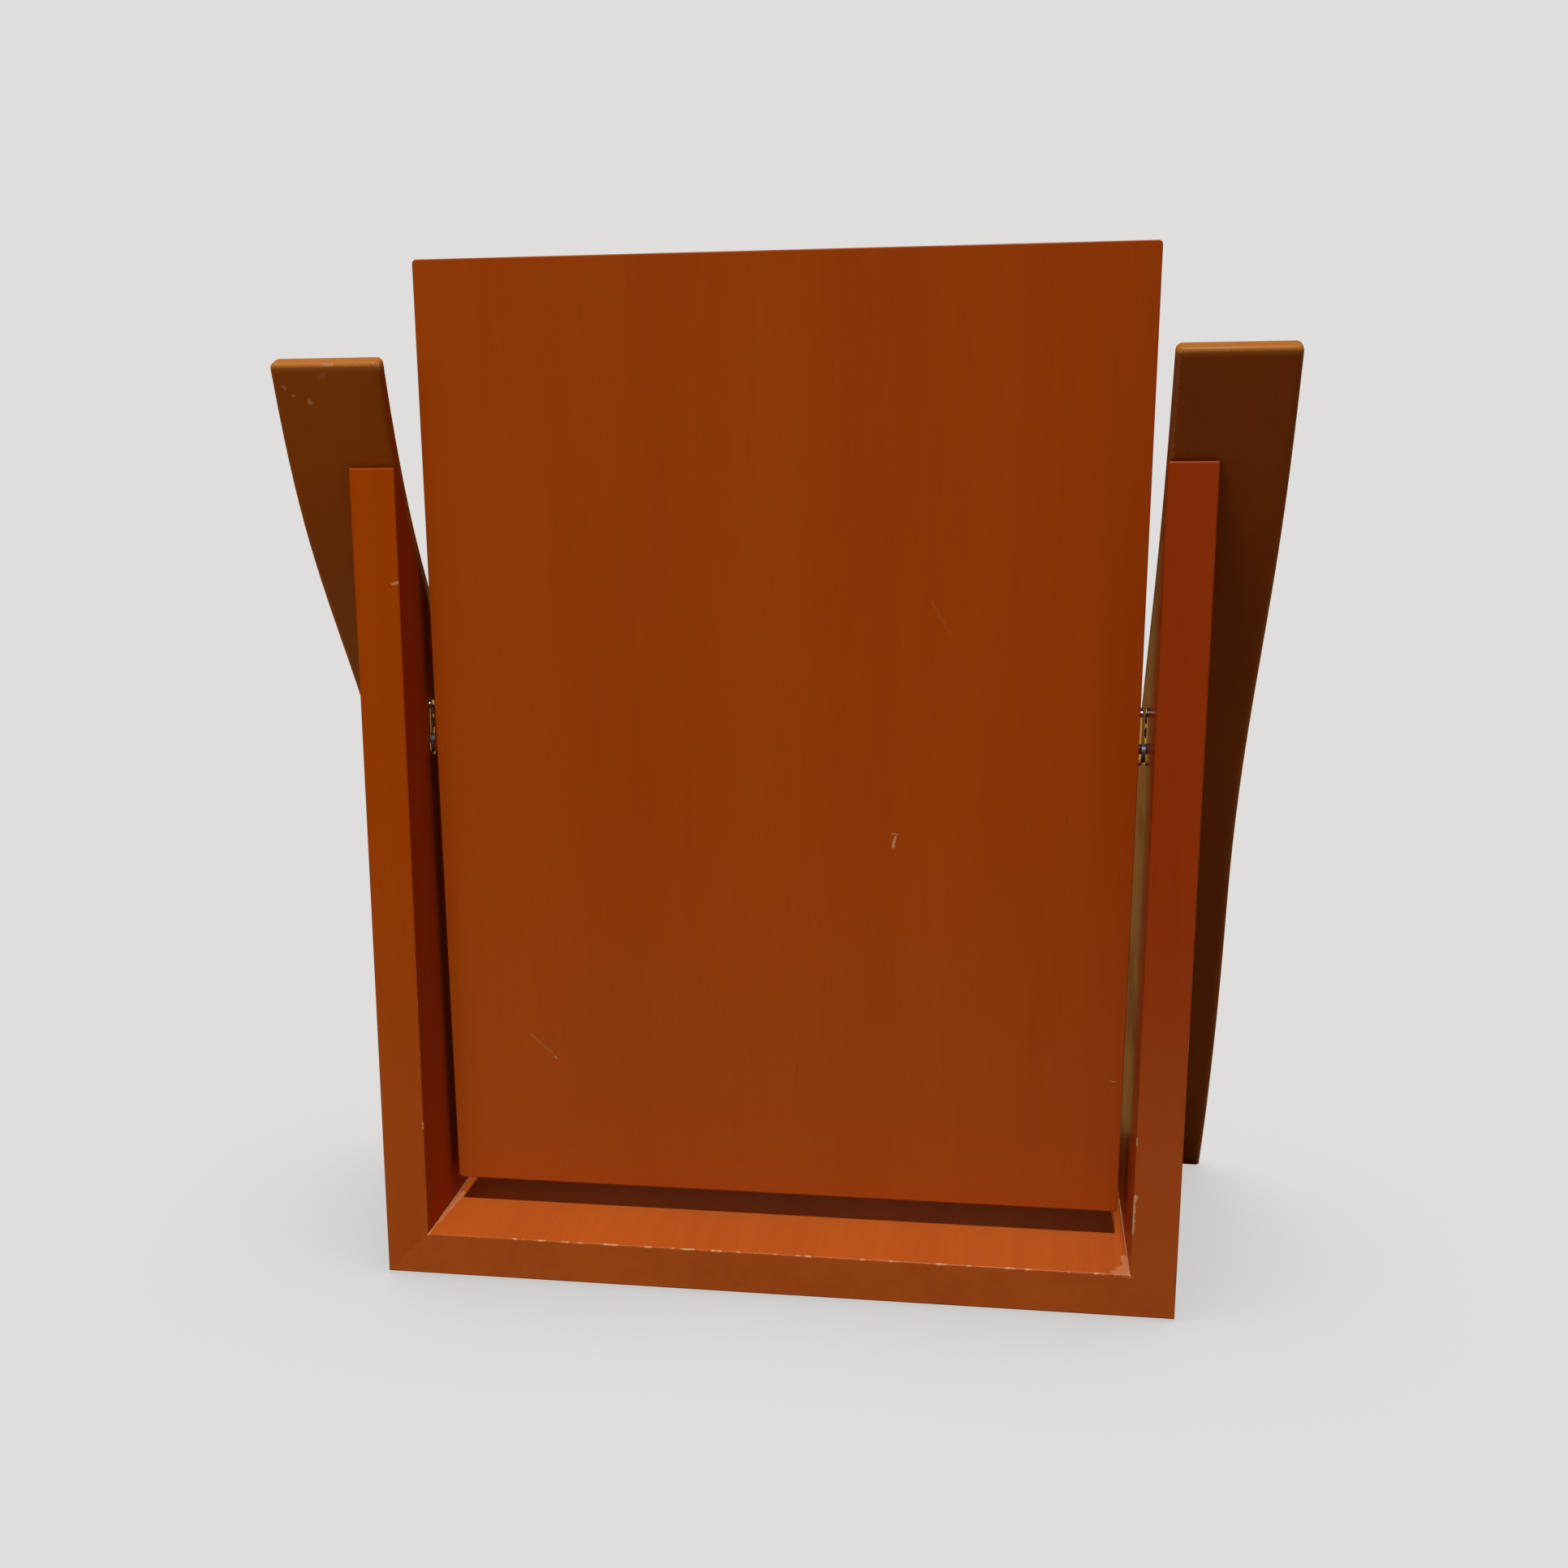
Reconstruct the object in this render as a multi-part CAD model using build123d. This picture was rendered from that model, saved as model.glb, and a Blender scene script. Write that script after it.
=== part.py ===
from build123d import *
import os

# Tilting vanity mirror on a free-standing wooden stand.
#
# Two upright side boards and a base board form a U. A curved slat is fixed on the front edge of each
# side board, and the mirror swings on two pivot pins between the side boards.
# Everything is in millimetres. The glass faces -Y, +Z is up, and +X is on the right of a person who
# looks into the glass. Left and right in the names are that person's.
# Depths are measured forwards (towards -Y) from the flat rear face of the stand.

# ---------------------------------------------------------------- driving dimensions

# Stand
STAND_WIDTH = 505.0
BOARD = 28.0
SIDE_HEIGHT = 518.0
EDGE_RADIUS = 1.0

# Rear face of the curved slat, which is also the front edge of the side board: (depth, height).
# It stands almost upright at the bottom third, sweeps back above it and eases off towards the top.
# The first point lies below the base, so that the bottom can be cut level.
SLAT_LINE = [
    (275.0, -17.0),
    (265.0, 0.0),
    (192.0, 177.0),
    (174.0, 252.0),
    (111.0, 364.0),
    (34.0, 465.0),
    (-20.0, 578.0),
]
SLAT_FOOT_DIRECTION = (-0.50, 0.87)
SLAT_TOP_DIRECTION = (-0.33, 0.94)
SLAT_WIDTH = 67.0
SLAT_THICKNESS = 12.0
SLAT_EDGE_RADIUS = 3.5
SLAT_TOP_EDGE_RADIUS = 2.5

# Joints hidden inside the stand
BISCUIT_LENGTH = 56.0
BISCUIT_WIDTH = 23.0
BISCUIT_THICKNESS = 4.0
BISCUIT_DEPTHS = (45.0, 125.0, 205.0)
DOWEL_DIAMETER = 8.0
DOWEL_IN_SLAT = 7.0
DOWEL_IN_BOARD = 20.0
DOWEL_SPOTS = (0.12, 0.32, 0.52, 0.72)

# Felt pads
PAD_THICKNESS = 2.0
PAD_DIAMETER = 22.0
PAD_SIDE_OFFSET = 205.0
PAD_DEPTHS = (30.0, 225.0)

# Mirror
MIRROR_GAP = 5.8
MIRROR_HEIGHT = 593.5
MIRROR_BELOW_PIVOT = 299.0
BACK_THICKNESS = 16.0
FRAME_STRIP_THICKNESS = 6.0
FRAME_STRIP_WIDTH = 22.0
MIRROR_CORNER_RADIUS = 2.5
MIRROR_EDGE_RADIUS = 0.8
GLASS_THICKNESS = 4.0
GLASS_PLAY = 0.7
GLASS_SEAM = 0.8
TAPE_THICKNESS = 0.8
TAPE_WIDTH = 25.0
TAPE_LENGTH = 460.0
TAPE_SPACING = 105.0
TAPE_COUNT = 4

# Pivots
PIVOT_HEIGHT = 344.8
PIVOT_DEPTH = 53.3
PIVOT_FROM_REAR_OF_MIRROR = 8.0
REST_TILT = 2.1
PIN_DIAMETER = 6.0
PIN_IN_BOARD = 12.0
PIN_IN_BUSH = 18.0
BUSH_DIAMETER = 10.0
BUSH_LENGTH = 20.0
RUNNING_CLEARANCE = 0.05
WASHER_DIAMETER = 11.5
WASHER_FACE_CLEARANCE = 0.1
PIN_CHAMFER = 0.8
PLATE_BOSS_DIAMETER = 16.0
PLATE_STEM_WIDTH = 11.0
PLATE_STEM_HEIGHT = 22.2
PLATE_NECK_RADIUS = 3.0
PLATE_THICKNESS = 1.8
PLATE_EDGE_RADIUS = 0.5
SCREW_HEIGHTS = (12.5, 21.0)
SCREW_HEAD_DIAMETER = 7.0
SCREW_SHANK_DIAMETER = 3.5
SCREW_LENGTH = 18.0
SCREW_DOME = 1.2
SLOT_WIDTH = 0.9
SLOT_DEPTH = 0.7

# ---------------------------------------------------------------- worked-out places

SIDE_OUTER_X = STAND_WIDTH / 2
SIDE_INNER_X = SIDE_OUTER_X - BOARD
MIRROR_EDGE_X = SIDE_INNER_X - MIRROR_GAP
MIRROR_WIDTH = 2 * MIRROR_EDGE_X
SIDE_PLATE_FACE_X = SIDE_INNER_X - PLATE_THICKNESS
MIRROR_PLATE_FACE_X = MIRROR_EDGE_X + PLATE_THICKNESS
WASHER_THICKNESS = SIDE_PLATE_FACE_X - MIRROR_PLATE_FACE_X - WASHER_FACE_CLEARANCE
BIG = 2000.0
OVERLAP = 1.0
NEAR = 0.001


def profile_point(depth, height):
    """A point of the side view, drawn on the YZ plane with the floor at height 0."""
    return Vector(-depth, height + PAD_THICKNESS)


# ---------------------------------------------------------------- side view of the stand


def slat_rear_line():
    """The curve that the slat's rear face and the side board's front edge share."""
    points = [profile_point(depth, height) for depth, height in SLAT_LINE]
    directions = [(-SLAT_FOOT_DIRECTION[0], SLAT_FOOT_DIRECTION[1])]
    directions.append((-SLAT_TOP_DIRECTION[0], SLAT_TOP_DIRECTION[1]))
    return Spline(*points, tangents=directions)


def forward_normal(curve, position):
    """The unit vector that points out of the front of the curve, at a position from 0 to 1."""
    direction = curve.tangent_at(position)
    return Vector(-direction.Y, direction.X)


def slat_front_line(curve):
    """The slat's front face: the rear line moved forwards by the slat's thickness."""
    steps = 16
    points = []
    for step in range(steps + 1):
        position = step / steps
        points.append(curve.position_at(position) + forward_normal(curve, position) * SLAT_THICKNESS)
    return Spline(*points, tangents=[curve.tangent_at(0), curve.tangent_at(1)])


def above(height):
    """Everything above a level, used to cut a bottom level."""
    return Pos(0, 0, height + BIG / 2) * Box(BIG, BIG, BIG)


def slat_section():
    rear = slat_rear_line()
    front = slat_front_line(rear)
    foot = Line(rear @ 0, front @ 0)
    top = Line(rear @ 1, front @ 1)
    return make_face([rear.edge(), top.edge(), front.edge(), foot.edge()])


def stand_section():
    """The side board's outline: straight rear edge, level top and bottom, curved front edge."""
    rear_line = slat_rear_line()
    low = rear_line @ 0
    high = rear_line @ 1
    behind = BIG / 4
    outline = Polyline(high, (behind, high.Y), (behind, low.Y), low)
    everything_behind = make_face([rear_line.edge()] + list(outline.edges()))
    depth_limit = BIG / 2
    board_area = Pos(-depth_limit / 2, PAD_THICKNESS + SIDE_HEIGHT / 2) * Rectangle(depth_limit, SIDE_HEIGHT)
    return everything_behind & board_area


def extrude_across(section, x_start, x_end):
    """A solid with the given side view, between two values of X."""
    start_plane = Plane.YZ.offset(x_start)
    return extrude(start_plane * section, amount=x_end - x_start)


# ---------------------------------------------------------------- stand


def rear_edges(solid):
    """The straight edges that border the flat rear face and run along X or Z."""
    return solid.edges().filter_by_position(Axis.Y, -NEAR, NEAR)


def above_mitre():
    """Everything above the 45 degree joint that rises inwards from the right bottom corner of the U."""
    reach = BIG / 2
    low = PAD_THICKNESS
    corners = [(SIDE_OUTER_X, low), (SIDE_OUTER_X - reach, low + reach), (SIDE_OUTER_X, low + reach)]
    triangle = make_face(Polyline(*corners, close=True).edges())
    return extrude(Plane.XZ * triangle, amount=BIG / 2, both=True)


def side_board_blank():
    blank = extrude_across(stand_section(), SIDE_INNER_X, SIDE_OUTER_X)
    blank = fillet(rear_edges(blank), EDGE_RADIUS)
    return blank & above_mitre()


def side_board_right(biscuits, dowels):
    board = side_board_blank() - biscuits - dowels
    board -= pin_right()
    for hole in side_plate_screw_places():
        board -= hole * screw_shank()
    return board


def base_board(biscuits_right, biscuits_left):
    blank = extrude_across(stand_section(), -SIDE_OUTER_X, SIDE_OUTER_X)
    blank &= Pos(0, 0, PAD_THICKNESS + BOARD / 2) * Box(BIG, BIG, BOARD)
    blank = fillet(rear_edges(blank).filter_by(Axis.X), EDGE_RADIUS)
    beyond_right = above_mitre()
    blank -= beyond_right
    blank -= mirror(beyond_right, about=Plane.YZ)
    return blank - biscuits_right - biscuits_left


def biscuit():
    """A lens-shaped loose tenon, long along Y and flat, centred on its own origin."""
    half_length = BISCUIT_LENGTH / 2
    half_width = BISCUIT_WIDTH / 2
    one_side = ThreePointArc((0, half_length), (half_width, 0), (0, -half_length))
    other_side = ThreePointArc((0, -half_length), (-half_width, 0), (0, half_length))
    lens = make_face([one_side.edge(), other_side.edge()])
    return extrude(lens, amount=BISCUIT_THICKNESS / 2, both=True)


def corner_biscuits_right():
    """Three biscuits square to the mitre at the right bottom corner."""
    group = []
    for depth in BISCUIT_DEPTHS:
        centre = Pos(SIDE_OUTER_X - BOARD / 2, -depth, PAD_THICKNESS + BOARD / 2)
        group.append(centre * Rot(0, 45, 0) * biscuit())
    return group


def slat_right(dowels):
    slat = extrude_across(slat_section(), SIDE_INNER_X, SIDE_INNER_X + SLAT_WIDTH)
    top_edges = slat.edges().filter_by(Axis.X).sort_by(Axis.Z)[-2:]
    slat = fillet(top_edges, SLAT_TOP_EDGE_RADIUS)
    long_edges = slat.edges().filter_by(lambda edge: edge.length > SIDE_HEIGHT)
    slat = fillet(long_edges, SLAT_EDGE_RADIUS)
    slat &= above(PAD_THICKNESS)
    return slat - dowels


def slat_dowels_right():
    """Four dowels square to the curve, through the joint of slat and side board."""
    line = slat_rear_line()
    middle_x = (SIDE_INNER_X + SIDE_OUTER_X) / 2
    length = DOWEL_IN_SLAT + DOWEL_IN_BOARD
    group = []
    for spot in DOWEL_SPOTS:
        point = line @ spot
        outwards = forward_normal(line, spot)
        direction = Vector(0, outwards.X, outwards.Y)
        start = Vector(middle_x, point.X, point.Y) - direction * DOWEL_IN_BOARD
        seat = Plane(origin=start, z_dir=direction)
        group.append(extrude(seat * Circle(DOWEL_DIAMETER / 2), amount=length))
    return group


def felt_pads():
    group = []
    for side in (-1, 1):
        for depth in PAD_DEPTHS:
            place = Pos(side * PAD_SIDE_OFFSET, -depth, PAD_THICKNESS / 2)
            group.append(place * Cylinder(PAD_DIAMETER / 2, PAD_THICKNESS))
    return group


# ---------------------------------------------------------------- pivots, on the stand


def at_pivot(x):
    """A plane at the pivot axis whose normal is +X, with its own x along Y and its y along Z."""
    origin = (x, -PIVOT_DEPTH, PIVOT_HEIGHT + PAD_THICKNESS)
    return Plane(origin=origin, x_dir=(0, 1, 0), z_dir=(1, 0, 0))


def along_x(x_start, x_end, diameter):
    """A round bar on the pivot axis."""
    return extrude(at_pivot(x_start) * Circle(diameter / 2), amount=x_end - x_start)


def screw_shank():
    """The threaded length, pointing along +Z from the head's seat at Z = 0."""
    return Pos(0, 0, SCREW_LENGTH / 2) * Cylinder(SCREW_SHANK_DIAMETER / 2, SCREW_LENGTH)


def screw_cone():
    """The countersunk part of the head, widest at the plate's outer face, at Z = -PLATE_THICKNESS."""
    wide = SCREW_HEAD_DIAMETER / 2
    narrow = SCREW_SHANK_DIAMETER / 2
    return Pos(0, 0, -PLATE_THICKNESS / 2) * Cone(wide, narrow, PLATE_THICKNESS)


def screw_dome():
    """The raised cap of an oval head."""
    wide = SCREW_HEAD_DIAMETER / 2
    sphere_radius = (wide**2 + SCREW_DOME**2) / (2 * SCREW_DOME)
    cap_top = -PLATE_THICKNESS - SCREW_DOME
    ball = Pos(0, 0, cap_top + sphere_radius) * Sphere(sphere_radius)
    return ball & (Pos(0, 0, cap_top + SCREW_DOME / 2) * Cylinder(wide, SCREW_DOME))


def screw(head_top, raised):
    """A slotted screw whose head's top is at Z = head_top."""
    body = screw_shank() + screw_cone()
    if raised:
        body += screw_dome()
    slot = Pos(0, 0, head_top + SLOT_DEPTH / 2) * Box(SCREW_HEAD_DIAMETER, SLOT_WIDTH, SLOT_DEPTH)
    return body - slot


def screw_places(seat_x, outwards):
    """Seats above the axis; a screw there points along +X if outwards is 1, else -X."""
    places = []
    for height in SCREW_HEIGHTS:
        spot = Vector(seat_x, -PIVOT_DEPTH, PIVOT_HEIGHT + PAD_THICKNESS + height)
        places.append(Plane(origin=spot, x_dir=(0, 1, 0), z_dir=(outwards, 0, 0)))
    return places


def side_plate_screw_places():
    return screw_places(SIDE_INNER_X, 1)


def mirror_plate_screw_places():
    return screw_places(MIRROR_EDGE_X, -1)


def plate_outline():
    """A round boss at the axis with a narrower stem above it, seen along X."""
    boss = Circle(PLATE_BOSS_DIAMETER / 2)
    stem = Pos(0, PLATE_STEM_HEIGHT / 2) * Rectangle(PLATE_STEM_WIDTH, PLATE_STEM_HEIGHT)
    top = Pos(0, PLATE_STEM_HEIGHT) * Circle(PLATE_STEM_WIDTH / 2)
    outline = boss + stem + top
    neck = outline.vertices().filter_by_position(Axis.Y, OVERLAP, PLATE_BOSS_DIAMETER / 2)
    return fillet(neck, PLATE_NECK_RADIUS)


def plate(seat_x, thickness_direction, hole_diameter, screw_seats):
    """A pivot plate with a hole for the pin and two countersunk holes above it."""
    body = extrude(at_pivot(seat_x) * plate_outline(), amount=thickness_direction * PLATE_THICKNESS)
    face_x = seat_x + thickness_direction * PLATE_THICKNESS
    face_edges = body.edges().filter_by_position(Axis.X, face_x - NEAR, face_x + NEAR)
    body = fillet(face_edges, PLATE_EDGE_RADIUS)
    through = PLATE_THICKNESS + OVERLAP
    body -= along_x(seat_x - through, seat_x + through, hole_diameter)
    for seat in screw_seats:
        body -= seat * screw_cone()
    return body


def pivot_plate_right():
    return plate(SIDE_INNER_X, -1, PIN_DIAMETER, side_plate_screw_places())


def pivot_plate_screws_right():
    head_top = -PLATE_THICKNESS - SCREW_DOME
    return [seat * screw(head_top, True) for seat in side_plate_screw_places()]


def pin_right():
    pin = along_x(MIRROR_EDGE_X - PIN_IN_BUSH, SIDE_INNER_X + PIN_IN_BOARD, PIN_DIAMETER)
    tip = pin.edges().sort_by(Axis.X)[0]
    return chamfer(tip, PIN_CHAMFER)


def friction_washer_right():
    start = SIDE_PLATE_FACE_X - WASHER_THICKNESS
    ring = along_x(start, SIDE_PLATE_FACE_X, WASHER_DIAMETER)
    bore = PIN_DIAMETER + 2 * RUNNING_CLEARANCE
    return ring - along_x(start - OVERLAP, SIDE_PLATE_FACE_X + OVERLAP, bore)


# ---------------------------------------------------------------- mirror, built upright


def mirror_block(width, height, centre_z, rear_y, thickness):
    """A slab of the mirror; rear_y is its rear face and it grows forwards from there."""
    return Pos(0, rear_y - thickness / 2, centre_z) * Box(width, thickness, height)


MIRROR_REAR_Y = -PIVOT_DEPTH + PIVOT_FROM_REAR_OF_MIRROR
MIRROR_CENTRE_Z = PAD_THICKNESS + PIVOT_HEIGHT - MIRROR_BELOW_PIVOT + MIRROR_HEIGHT / 2
STRIP_REAR_Y = MIRROR_REAR_Y - BACK_THICKNESS
TAPE_REAR_Y = STRIP_REAR_Y
GLASS_REAR_Y = TAPE_REAR_Y - TAPE_THICKNESS


def mirror_slab(rear_y, thickness):
    slab = mirror_block(MIRROR_WIDTH, MIRROR_HEIGHT, MIRROR_CENTRE_Z, rear_y, thickness)
    return fillet(slab.edges().filter_by(Axis.Y), MIRROR_CORNER_RADIUS)


def mirror_back_board():
    board = mirror_slab(MIRROR_REAR_Y, BACK_THICKNESS)
    rear_rim = board.edges().filter_by_position(Axis.Y, MIRROR_REAR_Y - NEAR, MIRROR_REAR_Y + NEAR)
    board = fillet(rear_rim, MIRROR_EDGE_RADIUS)
    cuts = [along_x(MIRROR_EDGE_X - BUSH_LENGTH, MIRROR_EDGE_X + OVERLAP, BUSH_DIAMETER)]
    cuts += [seat * screw_shank() for seat in mirror_plate_screw_places()]
    for cut in cuts:
        board -= cut
        board -= mirror(cut, about=Plane.YZ)
    return board


def frame_ring():
    """The raised border round the glass, before it is split at its mitres."""
    ring = mirror_slab(STRIP_REAR_Y, FRAME_STRIP_THICKNESS)
    front_y = STRIP_REAR_Y - FRAME_STRIP_THICKNESS
    opening_width = MIRROR_WIDTH - 2 * FRAME_STRIP_WIDTH
    opening_height = MIRROR_HEIGHT - 2 * FRAME_STRIP_WIDTH
    through = FRAME_STRIP_THICKNESS + 2 * OVERLAP
    opening = mirror_block(
        opening_width, opening_height, MIRROR_CENTRE_Z, STRIP_REAR_Y + OVERLAP, through
    )
    ring -= opening
    front_edges = ring.edges().filter_by_position(Axis.Y, front_y - NEAR, front_y + NEAR)
    return fillet(front_edges, MIRROR_EDGE_RADIUS)


def frame_strip(side):
    """One mitred strip of the border: side is top, bottom, left or right."""
    half_width = MIRROR_WIDTH / 2
    half_height = MIRROR_HEIGHT / 2
    mitres_meet = half_height - half_width
    outlines = {
        "top": [(-half_width, half_height), (half_width, half_height), (0, mitres_meet)],
        "bottom": [(-half_width, -half_height), (half_width, -half_height), (0, -mitres_meet)],
    }
    for name, sign in (("left", -1), ("right", 1)):
        outer = [(sign * half_width, -half_height), (sign * half_width, half_height)]
        outlines[name] = outer + [(0, mitres_meet), (0, -mitres_meet)]
    area = make_face(Polyline(*outlines[side], close=True).edges())
    front_plane = Plane.XZ * Pos(0, MIRROR_CENTRE_Z)
    wedge = extrude(front_plane * area, amount=BIG / 2, both=True)
    return frame_ring() & wedge


def mirror_glass():
    width = MIRROR_WIDTH - 2 * FRAME_STRIP_WIDTH - 2 * GLASS_PLAY
    height = MIRROR_HEIGHT - 2 * FRAME_STRIP_WIDTH - 2 * GLASS_PLAY
    sheet = mirror_block(width, height, MIRROR_CENTRE_Z, GLASS_REAR_Y, GLASS_THICKNESS)
    front_y = GLASS_REAR_Y - GLASS_THICKNESS
    front_edges = sheet.edges().filter_by_position(Axis.Y, front_y - NEAR, front_y + NEAR)
    return chamfer(front_edges, GLASS_SEAM)


def mounting_tape():
    group = []
    for index in range(TAPE_COUNT):
        x = (index - (TAPE_COUNT - 1) / 2) * TAPE_SPACING
        strip = mirror_block(TAPE_WIDTH, TAPE_LENGTH, MIRROR_CENTRE_Z, TAPE_REAR_Y, TAPE_THICKNESS)
        group.append(Pos(x, 0, 0) * strip)
    return group


def mirror_plate_right():
    hole = PIN_DIAMETER + 4 * RUNNING_CLEARANCE
    return plate(MIRROR_EDGE_X, 1, hole, mirror_plate_screw_places())


def mirror_plate_screws_right():
    return [seat * screw(-PLATE_THICKNESS, False) for seat in mirror_plate_screw_places()]


def pivot_bush_right():
    start = MIRROR_EDGE_X - BUSH_LENGTH
    bush = along_x(start, MIRROR_EDGE_X, BUSH_DIAMETER)
    bore = PIN_DIAMETER + 2 * RUNNING_CLEARANCE
    return bush - along_x(start - OVERLAP, MIRROR_EDGE_X + OVERLAP, bore)


# ---------------------------------------------------------------- assembly


def solids_of(thing):
    """A node is one shape or a list of shapes; this gives one flat list of its solids."""
    shapes = thing if isinstance(thing, list) else [thing]
    solids = []
    for shape in shapes:
        solids.extend(shape.solids())
    return solids


def left_of(thing):
    """The mirror image of a right-hand node, for the left side."""
    return [mirror(solid, about=Plane.YZ) for solid in solids_of(thing)]


def tilted(thing):
    """Leans a mirror node back about the pivot axis by the rest tilt."""
    pivot = Axis((0, -PIVOT_DEPTH, PIVOT_HEIGHT + PAD_THICKNESS), (1, 0, 0))
    return [solid.rotate(pivot, -REST_TILT) for solid in solids_of(thing)]


def build_nodes():
    biscuits = corner_biscuits_right()
    biscuits_left = left_of(biscuits)
    dowels = slat_dowels_right()
    side_board = side_board_right(biscuits, dowels)
    slat = slat_right(dowels)

    both_sides = {
        "side_board": side_board,
        "curved_slat": slat,
        "corner_biscuits": biscuits,
        "slat_dowels": dowels,
        "pivot_plate": pivot_plate_right(),
        "pivot_plate_screws": pivot_plate_screws_right(),
        "pivot_pin": pin_right(),
        "friction_washer": friction_washer_right(),
    }
    nodes = {"base_board": base_board(biscuits, biscuits_left), "felt_pads": felt_pads()}
    for name, thing in both_sides.items():
        nodes[name + "_right"] = thing
        nodes[name + "_left"] = left_of(thing)

    mirror_sides = {
        "mirror_plate": mirror_plate_right(),
        "mirror_plate_screws": mirror_plate_screws_right(),
        "pivot_bush": pivot_bush_right(),
    }
    nodes["mirror_back_board"] = tilted(mirror_back_board())
    nodes["mirror_glass"] = tilted(mirror_glass())
    nodes["mounting_tape"] = tilted(mounting_tape())
    for side in ("top", "bottom", "left", "right"):
        nodes["frame_strip_" + side] = tilted(frame_strip(side))
    for name, thing in mirror_sides.items():
        nodes[name + "_right"] = tilted(thing)
        nodes[name + "_left"] = tilted(left_of(thing))
    return nodes


def centre_shift(nodes):
    """How far to move everything along Y, so that the origin is under the middle of the whole object."""
    boxes = [solid.bounding_box() for thing in nodes.values() for solid in solids_of(thing)]
    front = min(box.min.Y for box in boxes)
    rear = max(box.max.Y for box in boxes)
    return -(front + rear) / 2


def main():
    os.makedirs("parts", exist_ok=True)
    nodes = build_nodes()
    shift = centre_shift(nodes)
    for name, thing in nodes.items():
        solids = [Pos(0, shift, 0) * solid for solid in solids_of(thing)]
        shape = solids[0] if len(solids) == 1 else Compound(children=solids)
        shape.label = name
        export_step(shape, "parts/" + name + ".step")
    print("rear face of the stand at Y =", round(shift, 3))
    print("pivot axis at Y, Z =", round(shift - PIVOT_DEPTH, 3), PIVOT_HEIGHT + PAD_THICKNESS)
    print("mirror size", round(MIRROR_WIDTH, 2), "x", MIRROR_HEIGHT)


main()
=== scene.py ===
# %% [markdown]
# # A tilting vanity mirror on a wooden stand
# The mirror is a dressing-table mirror: a veneered back board with a sheet of glass on its front, hung
# on two pivots between the arms of a U-shaped stand. A curved slat runs up the front edge of each arm.
# The solid shapes come from the CAD model. This lesson gives them their finishes, the light and the
# camera. The finishes are built from nodes, so they follow the pieces in every pose and need no images.

# %% Load the fixed frame
import bpy
import math
from mathutils import Matrix, Vector


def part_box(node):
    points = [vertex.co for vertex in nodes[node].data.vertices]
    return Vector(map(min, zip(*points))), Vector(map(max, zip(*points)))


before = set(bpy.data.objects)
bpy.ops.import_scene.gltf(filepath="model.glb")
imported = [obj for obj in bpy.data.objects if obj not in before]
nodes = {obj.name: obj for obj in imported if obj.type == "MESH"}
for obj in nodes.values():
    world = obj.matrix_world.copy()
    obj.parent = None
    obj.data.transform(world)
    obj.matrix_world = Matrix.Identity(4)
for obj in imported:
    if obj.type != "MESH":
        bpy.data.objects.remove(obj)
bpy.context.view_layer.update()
MM = 0.001

# %% [markdown]
# Every finish is a small net of shader nodes. One helper adds a node and fills its inputs: a plain value
# is set on the input, and another node's output is linked to it. Short helpers for sums, blends and
# ranges keep the finishes readable. An effect that several finishes share becomes a node group, built
# once, whose named sockets are its settings.

# %% Helpers for shader nodes
def fill(tree, made, inputs):
    """Links the inputs that another node feeds, and sets the rest."""
    for name, value in inputs.items():
        if isinstance(value, bpy.types.NodeSocket):
            tree.links.new(value, made.inputs[name])
        else:
            made.inputs[name].default_value = value


def node(tree, kind, inputs=None, **settings):
    """Adds a shader node with its settings, then fills its inputs."""
    made = tree.nodes.new("ShaderNode" + kind)
    for name, value in settings.items():
        setattr(made, name, value)
    fill(tree, made, inputs or {})
    return made


def calc(tree, operation, a, b=0.0, clamp=False):
    """One sum on two numbers."""
    return node(tree, "Math", {0: a, 1: b}, operation=operation, use_clamp=clamp).outputs[0]


def vector_calc(tree, operation, a, b=(0, 0, 0)):
    """One sum on two vectors."""
    return node(tree, "VectorMath", {0: a, 1: b}, operation=operation)


def ranged(tree, value, low, high, start=0.0, end=1.0):
    """Moves a value smoothly from one range to another."""
    inputs = {"Value": value, "From Min": low, "From Max": high, "To Min": start, "To Max": end}
    return node(tree, "MapRange", inputs, interpolation_type="SMOOTHSTEP").outputs["Result"]


def blend(tree, share, first, second, mode="MIX"):
    """A colour between two colours."""
    inputs = {"Factor": share, 6: first, 7: second}
    return node(tree, "Mix", inputs, data_type="RGBA", blend_type=mode).outputs[2]


def noise(tree, place, scale, detail=2.0, roughness=0.5):
    """Soft noise from 0 to 1 at a place."""
    inputs = {"Vector": place, "Scale": scale, "Detail": detail, "Roughness": roughness}
    return node(tree, "TexNoise", inputs).outputs["Fac"]


def stretched(tree, place, across, along):
    """The place scaled to make noise long in Z: so many features per metre across and along."""
    return vector_calc(tree, "MULTIPLY", place, (across, across, along)).outputs[0]


def new_group(name, inputs, outputs):
    """An empty node group with named inputs and outputs. Each is (name, kind, starting value)."""
    tree = bpy.data.node_groups.new(name, "ShaderNodeTree")
    for label, kind, value in inputs:
        socket = tree.interface.new_socket(name=label, in_out="INPUT", socket_type="NodeSocket" + kind)
        socket.default_value = value
    for label, kind in outputs:
        tree.interface.new_socket(name=label, in_out="OUTPUT", socket_type="NodeSocket" + kind)
    return tree, tree.nodes.new("NodeGroupInput").outputs, tree.nodes.new("NodeGroupOutput").inputs


def use_group(tree, group, inputs):
    """Places a group in a material with its own values and gives its outputs."""
    made = tree.nodes.new("ShaderNodeGroup")
    made.node_tree = group
    fill(tree, made, inputs)
    return made.outputs


print("helpers ready")


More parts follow.
